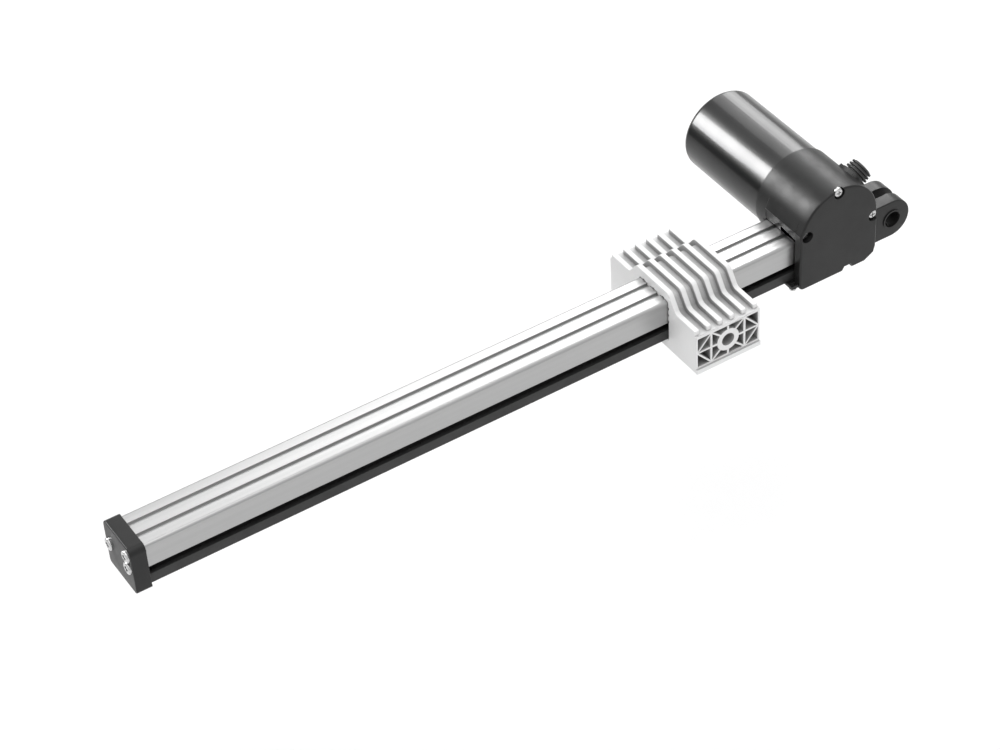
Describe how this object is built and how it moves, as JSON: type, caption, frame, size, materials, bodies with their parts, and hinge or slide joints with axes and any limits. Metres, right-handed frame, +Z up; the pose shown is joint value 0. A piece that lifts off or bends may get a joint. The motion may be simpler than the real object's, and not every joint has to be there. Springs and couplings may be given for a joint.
{
  "type": "linear actuator",
  "caption": "Rail-guided linear actuator: gearmotor set across an aluminium rail, inner lead screw and nut, ribbed slider block with pin bores, end cap and rear clevis.",
  "frame": {"origin": "centre of the rear clevis bore", "axes": "+X along the rail from the end cap to the clevis, +Y along the clevis bore towards the motor end, +Z up, from the strip side of the rail to its grooved top"},
  "size_m": [0.491, 0.1342, 0.0622],
  "materials": {
    "anodised_aluminium": "satin anodised",
    "black_strip": "fine moulded grain",
    "black_rubber": "matt",
    "dark_plastic": "satin moulded grain",
    "plated_screw": "bright zinc plate",
    "bronze": "sintered bronze",
    "black_gland": "satin",
    "black_can": "gloss black coating",
    "zinc_plate": "zinc plate",
    "bearing_steel": "ground",
    "ferrite": "matt sintered",
    "brush_card": "laminate",
    "carbon": "matt carbon",
    "lamination": "stacked steel",
    "copper": "enamelled copper",
    "screw_steel": "rolled thread, greased",
    "white_nylon": "satin natural nylon",
    "nut_acetal": "machined acetal",
    "circuit_board": "solder mask",
    "switch_black": "moulded"
  },
  "bodies": {
    "frame": {"rail_profile": "anodised_aluminium", "bottom_strip": "black_strip", "slot_lips": "black_rubber", "end_cap": "dark_plastic", "end_cap_screws": "plated_screw", "end_bush": "bronze", "gearbox_housing": "dark_plastic", "gearbox_cover": "dark_plastic", "cover_screws": "plated_screw", "foot_screws": "plated_screw", "rear_clevis": "dark_plastic", "cable_gland": "black_gland", "motor_can": "black_can", "motor_front_plate": "zinc_plate", "motor_front_bearing": "bearing_steel", "motor_rear_bush": "bronze", "cover_side_bush": "bronze", "motor_magnets": "ferrite", "brush_card": "brush_card", "brushes": "carbon", "bearing_outer_ring": "bearing_steel", "rear_bush": "bronze", "limit_board": "circuit_board", "limit_switches": "switch_black"},
    "screw": {"lead_screw": "screw_steel", "worm_wheel": "white_nylon", "wheel_clip": "bearing_steel", "bearing_inner_ring": "bearing_steel", "bearing_balls": "bearing_steel", "spacer_sleeve": "bearing_steel"},
    "rotor": {"rotor_shaft": "bearing_steel", "worm": "bearing_steel", "armature_core": "lamination", "armature_windings": "copper", "commutator": "copper"},
    "slider": {"slider_block": "white_nylon", "drive_nut": "nut_acetal"}
  },
  "joints": [
    {"name": "rotor_spin", "type": "hinge", "parent": "frame", "child": "rotor", "pos_m": [-0.044, 0.03, 0.0208], "axis": [0, 1, 0], "range_deg": [-34155, 320850]},
    {"name": "screw_spin", "type": "hinge", "parent": "frame", "child": "screw", "pos_m": [-0.144, 0, 0.0053], "axis": [1, 0, 0], "range_deg": [-1486, 13951]},
    {"name": "slider_slide", "type": "slide", "parent": "frame", "child": "slider", "axis": [1, 0, 0], "range_m": [-0.3101, 0.0331]}
  ],
  "couplings": [
    {"joint": "screw_spin", "follows": "rotor_spin", "ratio": 0.043478},
    {"joint": "slider_slide", "follows": "rotor_spin", "m_per_rad": -0.000055358}
  ]
}
